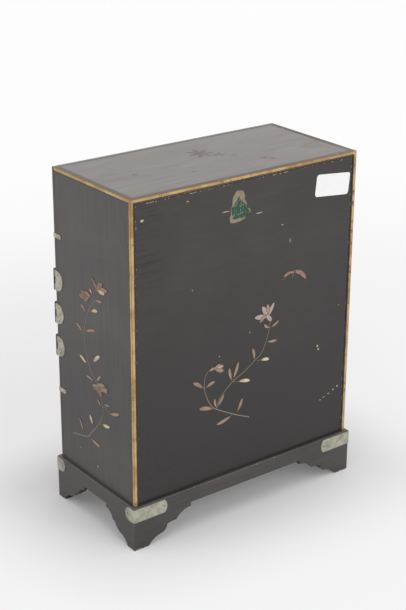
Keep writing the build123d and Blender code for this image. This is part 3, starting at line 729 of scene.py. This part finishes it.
class CHEST_OT_nail_heads(bpy.types.Operator):
    """Rounds the heads of the nails in the mounts, straps and hinges"""
    bl_idname = "chest.nail_heads"
    bl_label = "Nail heads"

    def execute(self, context):
        metal = white_metal("nail_white_metal", 1.0, 0.5)
        head_radius, head_height = 1.0 * MM, 0.5 * MM
        homes = {"case_nails": "case", "plinth_nails": "case", "hinge_door_nails_right": "door_right",
                 "hinge_door_nails_left": "door_left"}
        for node, body in homes.items():
            mesh = bmesh.new()
            for low, high in loose_parts(node):
                spread = high - low
                axis = min(range(3), key=lambda i: spread[i])
                out = Vector((0, 0, 0))
                out[axis] = 1 if (low[axis] + high[axis]) > 0 else -1
                foot = (low + high) / 2
                foot[axis] = high[axis] if out[axis] > 0 else low[axis]
                foot -= out * head_height
                dome = Matrix.Translation(foot) @ facing(out) @ Matrix.Diagonal(
                    (1, 1, head_height / head_radius, 1))
                new = bmesh.ops.create_uvsphere(
                    mesh, u_segments=14, v_segments=8, radius=head_radius, matrix=dome)
                faces = list({f for v in new["verts"] for f in v.link_faces})
                ball = new["verts"] + edges_of(new["verts"]) + faces
                cut = bmesh.ops.bisect_plane(
                    mesh, geom=ball, plane_co=foot, plane_no=-out, clear_outer=True)
                rim = [e for e in cut["geom_cut"] if isinstance(e, bmesh.types.BMEdge)]
                bmesh.ops.holes_fill(mesh, edges=rim)
            piece_from(mesh, f"{node}_domed", body, [metal], (node,))
        return {"FINISHED"}


class Wire:
    """A round bar that grows from one end by straight runs and bends."""

    def __init__(self, mesh, start, way, radius):
        self.mesh = mesh
        ring = bmesh.ops.create_circle(
            mesh, segments=16, radius=radius, matrix=Matrix.Translation(start) @ facing(way))["verts"]
        self.edges = edges_of(ring)

    def points(self):
        """The ring of points that the bar ends in so far."""
        return list({vertex for edge in self.edges for vertex in edge.verts})

    def run(self, way):
        """A straight run."""
        grown = bmesh.ops.extrude_edge_only(self.mesh, edges=self.edges)["geom"]
        fresh = {item for item in grown if isinstance(item, bmesh.types.BMVert)}
        bmesh.ops.translate(self.mesh, verts=list(fresh), vec=way)
        self.edges = [e for e in grown if isinstance(e, bmesh.types.BMEdge) and set(e.verts) <= fresh]

    def bend(self, centre, axis, angle, steps=6):
        """A bend about an axis."""
        grown = bmesh.ops.spin(
            self.mesh, geom=self.points() + self.edges, cent=centre, axis=axis, angle=angle, steps=steps)
        self.edges = [item for item in grown["geom_last"] if isinstance(item, bmesh.types.BMEdge)]


class CHEST_OT_wire_pulls(bpy.types.Operator):
    """Makes the drop handles and ring pulls round and smooth"""
    bl_idname = "chest.wire_pulls"
    bl_label = "Wire pulls"

    def execute(self, context):
        iron = dark_iron("pull_iron")
        wire = 1.1 * MM  # radius of the bar
        bend, shoulder = 5.0 * MM, 2.0 * MM
        eye_to_leg = 6.8 * MM  # from an end of the bar, in its post, to the middle of the leg
        quarter = math.radians(90)
        left, down = Vector((-1, 0, 0)), Vector((0, 0, -1))
        for name in ("bottom_bail_right", "bottom_bail_left", "top_bail_right", "top_bail_left"):
            low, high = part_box(name)
            middle = (low + high) / 2
            leg = (high.x - low.x) / 2 - wire
            pivot = high.z - wire
            drop = pivot - (low.z + wire)
            tip = leg - eye_to_leg
            mesh = bmesh.new()
            bar = Wire(mesh, (middle.x - tip, middle.y, pivot), left, wire)
            bar.run(left * (leg - tip - shoulder))
            bar.bend((middle.x - leg + shoulder, middle.y, pivot - shoulder), (0, -1, 0), quarter)
            bar.run(down * (drop - shoulder - bend))
            bar.bend((middle.x - leg + bend, middle.y, pivot - drop + bend), (0, -1, 0), quarter, 8)
            bar.run(-left * 2 * (leg - bend))
            bar.bend((middle.x + leg - bend, middle.y, pivot - drop + bend), (0, -1, 0), quarter, 8)
            bar.run(-down * (drop - shoulder - bend))
            bar.bend((middle.x + leg - shoulder, middle.y, pivot - shoulder), (0, -1, 0), quarter)
            bar.run(left * (leg - tip - shoulder))
            bmesh.ops.holes_fill(mesh, edges=[e for e in mesh.edges if e.is_boundary])
            piece_from(mesh, f"{name}_wire", name, [iron], (name,))
        for name in ("pull_ring_right", "pull_ring_left"):
            low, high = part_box(name)
            middle = (low + high) / 2
            radius = (high.z - low.z) / 2 - wire * math.cos(math.pi / 8)  # its CAD bar is eight-sided
            mesh = bmesh.new()
            start = Matrix.Translation(middle + Vector((0, 0, radius))) @ facing((1, 0, 0))
            ring = bmesh.ops.create_circle(mesh, segments=14, radius=wire, matrix=start)["verts"]
            bmesh.ops.spin(mesh, geom=ring + edges_of(ring), cent=middle, axis=(0, 1, 0), angle=math.tau,
                           steps=48, use_merge=True)
            piece_from(mesh, f"{name}_wire", name, [iron], (name,))
        return {"FINISHED"}


class Brush:
    """Lays raised strokes of paint on one upright face. Places are millimetres along it and up."""
    OVER = 0.003 * MM  # each stroke lies this far over the last
    POINTED = 1.35  # 1 is an oval, and more draws its ends out

    def __init__(self, along, face, look):
        self.mesh = bmesh.new()
        self.narrow = look.leaf_share
        self.border = look.border_width
        self.lift = 0.0
        self.along = Vector(along)
        self.out = Vector((1, 0, 0)) if abs(self.along.y) > 0.5 else Vector((0, 1, 0))
        self.origin = self.out * face

    def place(self, across, up):
        """A point of the face, over the strokes laid so far."""
        return self.origin + self.out * self.lift + self.along * across * MM + Vector((0, 0, up * MM))

    def colour(self, faces, index):
        """Gives faces one of the paints."""
        for face in faces:
            face.material_index = index

    def blade(self, root, tip, width, index, bow, grow=0.0):
        """A pointed blade from root to tip. bow curves it sideways and grow widens it all round."""
        self.lift += self.OVER
        start, end = self.place(*root), self.place(*tip)
        way = end - start
        start, end = start - way.normalized() * grow, end + way.normalized() * grow
        way = end - start
        across = self.out.cross(way).normalized()
        half = width * MM * self.narrow / 2 + grow
        new = bmesh.ops.create_circle(self.mesh, cap_ends=True, segments=14, radius=1.0)
        for vertex in new["verts"]:
            s, w = vertex.co.x, vertex.co.y
            swell = math.copysign(abs(w) ** self.POINTED, w) * half
            along = (s + 1) / 2 + 0.05 * (1 - s * s)
            vertex.co = start + way * along + across * (swell + bow * MM * (1 - s * s))
        self.colour({f for v in new["verts"] for f in v.link_faces}, index)

    def petal(self, root, tip, width, index, bow=0.0):
        """A blade with a dark outline."""
        self.blade(root, tip, width, BORDER, bow, self.border)
        self.blade(root, tip, width, index, bow)

    def leaf(self, root, tip, width, index, bow):
        """A blade with a dark outline on a short stalk."""
        stalk = 0.36 if index == BRIGHT else 0.14
        foot = tuple(a + (b - a) * stalk for a, b in zip(root, tip))
        self.stroke([root, foot], 0.5, 0.4, STEM)
        self.petal(foot, tip, width, index, bow)

    def stroke(self, places, start_width, end_width, index):
        """A thin line through the places, smooth between them."""
        self.lift += self.OVER
        line = smooth_line([self.place(*p) for p in places])
        edges, last = None, len(line) - 1
        for i, point in enumerate(line):
            way = line[min(i + 1, last)] - line[max(i - 1, 0)]
            side = self.out.cross(way).normalized() * MM / 2
            side = side * (start_width + (end_width - start_width) * i / last)
            if edges is None:
                pair = [self.mesh.verts.new(point - side), self.mesh.verts.new(point + side)]
                edges = [self.mesh.edges.new(pair)]
                continue
            grown = bmesh.ops.extrude_edge_only(self.mesh, edges=edges)["geom"]
            fresh = [v for v in grown if isinstance(v, bmesh.types.BMVert)]
            edges = [e for e in grown if isinstance(e, bmesh.types.BMEdge) and set(e.verts) <= set(fresh)]
            if (fresh[0].co - pair[0].co).length > (fresh[0].co - pair[1].co).length:
                fresh.reverse()
            fresh[0].co, fresh[1].co = point - side, point + side
            pair = fresh
            self.colour([f for f in grown if isinstance(f, bmesh.types.BMFace)], index)

    def leaves(self, rows, bow):
        """Leaves that bow to one side and the other by turns."""
        for number, row in enumerate(rows):
            self.leaf(*row, bow if number % 2 else -bow)

    def finish(self, name, look):
        """Gives all the strokes their thickness and makes them a piece on the case."""
        thicken(self.mesh, self.out * look.lift)
        piece_from(self.mesh, name, "case", spray_paints(look), smooth=False, merge=False)


def smooth_line(points):
    """Points of a smooth curve through the given ones."""
    span_points = 6  # with both ends
    line = []
    for i in range(len(points) - 1):
        before, after = points[max(i - 1, 0)], points[min(i + 2, len(points) - 1)]
        handle_a = points[i] + (points[i + 1] - before) / 6
        handle_b = points[i + 1] - (after - points[i]) / 6
        curve = geometry.interpolate_bezier(points[i], handle_a, handle_b, points[i + 1], span_points)
        line += curve[:-1]
    return line + [points[-1]]


def spray_paints(look):
    """The paints of the sprays, in the order of their names below."""
    sets = (("dull_gilt", look.dull, look.copper, 0.4), ("bright_gilt", look.bright, look.dull, 0.35),
            ("green_gilt", look.green, look.dull, 0.3), ("blossom_red", look.red, look.copper, 0.1),
            ("copper_paint", look.copper, look.dull, 0.3), ("stem_paint", look.stem, look.green, 0.3),
            ("blush_paint", look.blush, look.dull, 0.2), ("border_paint", look.border, look.red, 0.1))
    return [bpy.data.materials.get(name) or paint(name, first, second, metal)
            for name, first, second, metal in sets]


DULL, BRIGHT, GREEN, RED, COPPER, STEM, BLUSH, BORDER = range(8)


class CHEST_OT_back_spray(bpy.types.Operator):
    """Paints the flowering spray and the moth on the back"""
    bl_idname = "chest.back_spray"
    bl_label = "Back spray"

    def execute(self, context):
        look = context.scene.chest_painting
        brush = Brush((1, 0, 0), BACK_FACE + PAINT_GAP, look)
        thick = look.stem_width / MM
        low_stem = [(-5, 108), (15, 117), (39, 130), (47, 137), (53, 149), (55.5, 159), (55, 170), (51, 177)]
        main_stem = [(40, 131), (35, 142), (19, 156), (4, 163), (-11, 172.5), (-20, 179), (-27, 192),
                     (-30, 204), (-32, 215)]
        brush.stroke(low_stem, thick * 1.3, thick * 0.6, STEM)
        brush.stroke(main_stem, thick, thick * 0.6, STEM)
        leaves = [
            ((56, 159), (70, 169), 6, COPPER), ((54, 159), (42, 163), 5.5, DULL),
            ((43, 132), (62, 137), 7, DULL), ((18, 117), (39, 112), 6, DULL),
            ((12, 118), (5, 133), 5.5, COPPER), ((40, 132), (42, 143), 4, DULL),
            ((39, 132), (30, 145), 5, GREEN), ((19.5, 157), (23, 173), 5, DULL),
            ((18, 158), (11, 177), 5.5, DULL), ((18, 156), (-5, 151), 6.5, BRIGHT),
            ((-11, 173), (-8, 187), 5, DULL), ((-14, 172), (-31, 169), 6, BRIGHT),
            ((-27, 190), (-41, 189), 4.5, DULL), ((-31, 205), (-23, 211), 4.5, DULL),
            ((-32, 205), (-43, 211), 4, COPPER), ((51, 177), (41, 178), 5, DULL),
        ]
        petals = [
            ((42, 178), (31, 172), 8, DULL), ((44, 177), (35, 181), 6, COPPER),
            ((39, 178), (31, 178), 6, BLUSH), ((-28, 219), (-10, 222), 9, BLUSH),
            ((-28, 219), (-20, 232), 9, BLUSH), ((-27, 218), (-36, 233), 7, BLUSH),
            ((-29, 222), (-27, 233), 7, DULL), ((-26, 221), (-33, 213), 8, BLUSH),
            ((-25, 222), (-17, 215), 6, DULL),
        ]
        brush.leaves(leaves, 0.6)
        for petal in petals:
            brush.petal(*petal)
        fuller = 1.3
        wings = [((-63, 262), (-48, 259), 4.2, -1.2), ((-64, 263), (-79, 250), 5.5, 2.0),
                 ((-64, 261), (-72, 257), 4, 1.0), ((-62, 261), (-52, 262), 3, -0.6)]
        for root, tip, width, bow in wings:
            brush.petal(root, tip, width * fuller, COPPER, bow)
        brush.stroke([(-63, 264), (-62, 260), (-60, 255)], 0.9, 0.4, COPPER)
        brush.stroke([(-52, 259), (-47, 256), (-45, 257)], 0.4, 0.3, COPPER)
        brush.finish("back_spray", look)
        return {"FINISHED"}


class CHEST_OT_side_spray(bpy.types.Operator):
    """Paints the flowering spray on the right side"""
    bl_idname = "chest.side_spray"
    bl_label = "Side spray"

    def execute(self, context):
        look = context.scene.chest_painting
        brush = Brush((0, 1, 0), CASE_HIGH.x + PAINT_GAP, look)
        thick = look.stem_width / MM
        low_stem = [(-44, 88), (-31, 91), (-14, 96), (-7, 104), (4, 115), (12, 126), (16, 136), (14, 146),
                    (12, 156)]
        high_stem = [(9, 162), (3, 167), (-4, 175), (-10, 183), (-14, 194), (-16, 205), (-16, 217),
                     (-12, 231), (-7, 242), (-1, 251), (6, 258)]
        brush.stroke(low_stem, thick * 1.4, thick * 0.6, STEM)
        brush.stroke(high_stem, thick * 1.1, thick * 0.6, STEM)
        brush.stroke([(16, 142), (23, 143), (29, 139)], thick * 0.7, thick * 0.5, STEM)
        leaves = [
            ((-18, 214), (-32, 221), 4, DULL), ((-15, 217), (5, 224), 5, COPPER),
            ((-12, 238), (-21, 245), 4, DULL), ((-7, 242), (10, 247), 6, BRIGHT),
            ((6, 258), (18, 260), 4.5, DULL), ((2, 261), (-3, 268), 3.5, BRIGHT),
            ((-8, 179), (-26, 186), 6, BRIGHT), ((-6, 183), (12, 198), 7, BRIGHT),
            ((1, 166), (-14, 166.5), 4.5, GREEN), ((4, 167), (14, 176), 4.5, DULL),
            ((13, 141), (5, 147), 3.6, DULL), ((17, 145), (29, 148), 4.4, GREEN),
            ((28, 139), (46, 146), 6, DULL), ((-2, 109), (-9, 124), 5.5, BRIGHT),
            ((8, 120), (28, 124), 6.5, BRIGHT), ((-22, 98), (-30, 112), 4.5, GREEN),
            ((-10, 96), (9, 93), 5, DULL),
        ]
        petals = [
            ((-3, 258), (-24, 254), 8, RED), ((-4, 259), (-20, 260), 6, RED), ((-6, 257), (-14, 251), 5, RED),
            ((-2, 259), (-12, 262), 4, COPPER),
            ((8, 270), (29, 275), 7, COPPER), ((9, 272), (20, 280), 7, RED), ((10, 271), (1, 281), 5, RED),
            ((12, 270), (24, 270), 5, BRIGHT),
            ((-2, 157), (26, 166), 8, RED), ((4, 163), (20, 168), 6, GREEN), ((6, 158), (15, 154), 6, RED),
            ((14, 163), (25, 162), 5, COPPER), ((-3, 160), (8, 163), 5, GREEN),
        ]
        brush.leaves(leaves, 0.5)
        fuller = 1.3
        for root, tip, width, colour in petals:
            brush.petal(root, tip, width * fuller, colour)
        brush.finish("side_spray", look)
        return {"FINISHED"}


class CHEST_OT_labels(bpy.types.Operator):
    """Sticks a blank white label and the remains of an older one on the back"""
    bl_idname = "chest.labels"
    bl_label = "Blank labels"

    def execute(self, context):
        look = context.scene.chest_inside
        paper, wires, shader, place = blank_material("label_paper")
        fibre = wires.noise(place, 900, 4, 0.6)
        soil = wires.step(wires.noise(place, 70, 5, 0.6), 0.6, 0.9, 0.0, 0.05)
        coat(wires, shader, wires.mix(soil, look.paper, look.old_paper), wires.scaled(fibre, 0.1, 0.5),
             fibre, 0.03 * MM, 0.4)
        mesh = bmesh.new()
        on_back = BACK_FACE + LABEL_GAP
        width, height, corner_radius = 47 * MM, 24 * MM, 3.2 * MM
        white_thickness, old_thickness = 0.15 * MM, 0.1 * MM
        stand = Matrix.Translation((-113.0 * MM, on_back, 348.4 * MM))
        tilt = Matrix.Rotation(math.radians(-6.2), 4, "Y")
        upright = Matrix.Rotation(math.radians(90), 4, "X")
        bmesh.ops.create_grid(mesh, x_segments=1, y_segments=1, size=0.5,
                              matrix=stand @ tilt @ upright @ Matrix.Diagonal((width, height, 1, 1)))
        bmesh.ops.bevel(mesh, geom=mesh.verts[:] + mesh.edges[:], offset=corner_radius, segments=5,
                        profile=0.5, affect="VERTICES", material=-1)
        thicken(mesh, (0, white_thickness, 0))
        piece_from(mesh, "white_label", "case", [paper], smooth=False)

        old, wires, shader, place = blank_material("old_label_paper")
        x, _, z = wires.split(place)
        ragged = wires.scaled(wires.noise(place, 420, 3, 0.6), 4.0 * MM, -2.0 * MM)
        spread = wires.step(z, 345 * MM, 358 * MM, 11.0 * MM, 1.2 * MM)
        middle = wires.step(z, 338 * MM, 354 * MM, 10.4 * MM, 13.6 * MM)
        aside = wires.calculate("ABSOLUTE", wires.less(x, middle))
        inside = wires.step(wires.less(wires.plus(spread, ragged), aside), -0.3 * MM, 0.4 * MM)
        foil_low, foil_high = (335.5 * MM, 336.5 * MM), (358 * MM, 360 * MM)
        level = wires.times(wires.step(z, *foil_low), wires.step(z, *foil_high, 1.0, 0.0))
        foil = wires.times(inside, level)
        stain = wires.step(wires.noise(place, 150, 5, 0.6), 0.4, 0.7, 0.0, 0.45)
        rubbed = wires.step(wires.noise(place, 640, 3, 0.5), 0.54, 0.62, 0.0, 0.8)
        colour = wires.mix(stain, look.old_paper, shade(96, 82, 60))
        colour = wires.mix(foil, colour, wires.mix(rubbed, look.foil, look.foil_pale))
        coat(wires, shader, colour, wires.scaled(foil, -0.4, 0.8), wires.noise(place, 500, 4), 0.1 * MM, 0.6)
        mesh = bmesh.new()
        bmesh.ops.create_grid(mesh, x_segments=8, y_segments=10, size=1.0)
        centre_across, centre_up, half_height = 13.4, 349.0, 16.5
        top_half, flare = 7.0, 5.5  # half the width at the top, and how much more at the foot
        for vertex in mesh.verts:
            s, t = vertex.co.x, vertex.co.y  # -1 to 1 across the paper and up it; the rest is millimetres
            half = top_half + flare * ((1 - t) / 2) ** 1.2
            ragged = 0.7 * math.sin(9 * t + 4 * s) + 0.5 * math.sin(17 * t)
            edge = abs(s) ** 3
            bulge = 4.5 * max(s, 0) ** 2 * math.exp(-((t + 0.55) / 0.32) ** 2)
            across = centre_across - s * half * (1 - 0.2 * t ** 4 * abs(s)) + edge * ragged - bulge
            up = centre_up + half_height * t - 2.0 * t * s * s + 1.4 * s * (1 - t) / 2
            vertex.co = (across * MM, on_back, up * MM)
        thicken(mesh, (0, old_thickness, 0))
        piece_from(mesh, "old_label", "case", [old], smooth=False)
        return {"FINISHED"}


class CHEST_OT_stage(bpy.types.Operator):
    """Sets the floor, the lights and the camera"""
    bl_idname = "chest.stage"
    bl_label = "Studio"

    def execute(self, context):
        look = context.scene.chest_stage
        floor_reach = 12.0
        mesh = bmesh.new()
        bmesh.ops.create_grid(mesh, x_segments=1, y_segments=1, size=floor_reach)
        data = bpy.data.meshes.new("floor")
        mesh.to_mesh(data)
        mesh.free()
        floor = bpy.data.objects.new("floor", data)
        context.scene.collection.objects.link(floor)
        material, wires, shader, place = blank_material("floor_paper")
        shaded_at = (0.05, -0.4, 0)
        near_front = wires.size(wires.vector("SUBTRACT", place, shaded_at))
        wires.feed(shader.inputs["Base Color"],
                   wires.mix(wires.step(near_front, 0.2, 0.62), look.floor_shade, look.floor))
        shader.inputs["Roughness"].default_value = 0.9
        shader.inputs["Specular IOR Level"].default_value = 0.1
        past = wires.vector("SUBTRACT", wires.vector("ABSOLUTE", place), (PLINTH_HIGH.x, PLINTH_HIGH.y, 0))
        away = wires.size(wires.vector("MULTIPLY", wires.vector("MAXIMUM", past), (1, 1, 0)))
        near, far = 0.14, 1.2  # metres from the plinth; painted light: a glow seen only by the camera pales the floor and its shadow, fast up to near, then slowly
        glow_share = wires.plus(wires.step(away, 0.0, near, 0.12, 0.6), wires.step(away, near, far, 0.0, 0.4))
        rays = wires.add("ShaderNodeLightPath").outputs
        painted_glow = wires.add("ShaderNodeEmission", {"Color": WHITE, "Strength": 0.985})
        over = wires.add("ShaderNodeMixShader", {
            0: wires.times(glow_share, rays["Is Camera Ray"]),
            1: shader.outputs[0], 2: painted_glow.outputs[0]})
        wires.feed(wires.tree.nodes["Material Output"].inputs["Surface"], over.outputs[0])
        data.materials.append(material)

        world = bpy.data.worlds.new("room")
        context.scene.world = world
        world.use_nodes = True
        wires = Wires(world.node_tree)
        back = world.node_tree.nodes["Background"]
        rays = wires.add("ShaderNodeLightPath").outputs
        seen = wires.larger(rays["Is Camera Ray"],
                            wires.larger(rays["Is Glossy Ray"], rays["Is Transmission Ray"]))
        wires.feed(back.inputs["Strength"], wires.scaled(seen, 1.0 - look.room, look.room))
        wires.feed(back.inputs["Color"], WHITE)

        aimed_at = Vector((0, 0, 0.15))
        for name, watts, place, size in (
            ("overhead_light", look.overhead, (0.1, 0.4, 2.3), 2.0),
            ("key_light", look.key, (-0.2, 2.2, 1.4), 1.4),
            ("fill_light", look.fill, (1.9, -0.6, 1.3), 1.2),
        ):
            light = bpy.data.lights.new(name, "AREA")
            light.shape = "SQUARE"
            light.size = size
            light.energy = watts
            lamp = bpy.data.objects.new(name, light)
            lamp.location = place
            lamp.rotation_euler = (aimed_at - Vector(place)).to_track_quat("-Z", "Y").to_euler()
            context.scene.collection.objects.link(lamp)

        camera_data = bpy.data.cameras.new("camera")
        camera_data.lens = look.lens
        camera_data.sensor_width = 36.0
        camera_data.sensor_fit = "AUTO"
        camera_data.shift_x, camera_data.shift_y = look.shift
        camera_data.clip_start = 0.02
        camera = bpy.data.objects.new("camera", camera_data)
        camera.matrix_world = (
            Matrix.Translation(look.eye)
            @ Matrix.Rotation(look.heading, 4, "Z")
            @ Matrix.Rotation(math.radians(90) - look.pitch, 4, "X")
            @ Matrix.Rotation(look.roll, 4, "Z"))
        context.scene.collection.objects.link(camera)
        context.scene.camera = camera
        context.scene.view_settings.view_transform = "Standard"
        return {"FINISHED"}


OPERATORS = (CHEST_OT_lacquer_case, CHEST_OT_lacquer_plinth, CHEST_OT_plain_wood, CHEST_OT_metalwork,
             CHEST_OT_nail_heads, CHEST_OT_wire_pulls, CHEST_OT_back_spray, CHEST_OT_side_spray,
             CHEST_OT_labels, CHEST_OT_stage)
SETTINGS = {"chest_lacquer": ChestLacquerSettings, "chest_painting": ChestPaintingSettings,
            "chest_metal": ChestMetalSettings, "chest_inside": ChestInsideSettings,
            "chest_stage": ChestStageSettings}


class CHEST_PT_finish(bpy.types.Panel):
    """Lists the chest's finishes and the steps that lay them on"""
    bl_idname = "CHEST_PT_finish"
    bl_label = "Chest finish"
    bl_space_type = "VIEW_3D"
    bl_region_type = "UI"
    bl_category = "Chest"

    def draw(self, context):
        for operator in OPERATORS:
            self.layout.operator(operator.bl_idname)
        for name, group in SETTINGS.items():
            box = self.layout.box()
            for title in group.__annotations__:
                box.prop(getattr(context.scene, name), title)


def register():
    for name, group in SETTINGS.items():
        bpy.utils.register_class(group)
        setattr(bpy.types.Scene, name, bpy.props.PointerProperty(type=group))
    for operator in OPERATORS:
        bpy.utils.register_class(operator)
    bpy.utils.register_class(CHEST_PT_finish)


def unregister():
    bpy.utils.unregister_class(CHEST_PT_finish)
    for operator in reversed(OPERATORS):
        bpy.utils.unregister_class(operator)
    for name, group in SETTINGS.items():
        delattr(bpy.types.Scene, name)
        bpy.utils.unregister_class(group)


def main():
    """Lays on each finish in turn."""
    register()
    for operator in OPERATORS:
        getattr(bpy.ops.chest, operator.bl_idname.split(".")[1])()


if __name__ == "__main__":
    main()
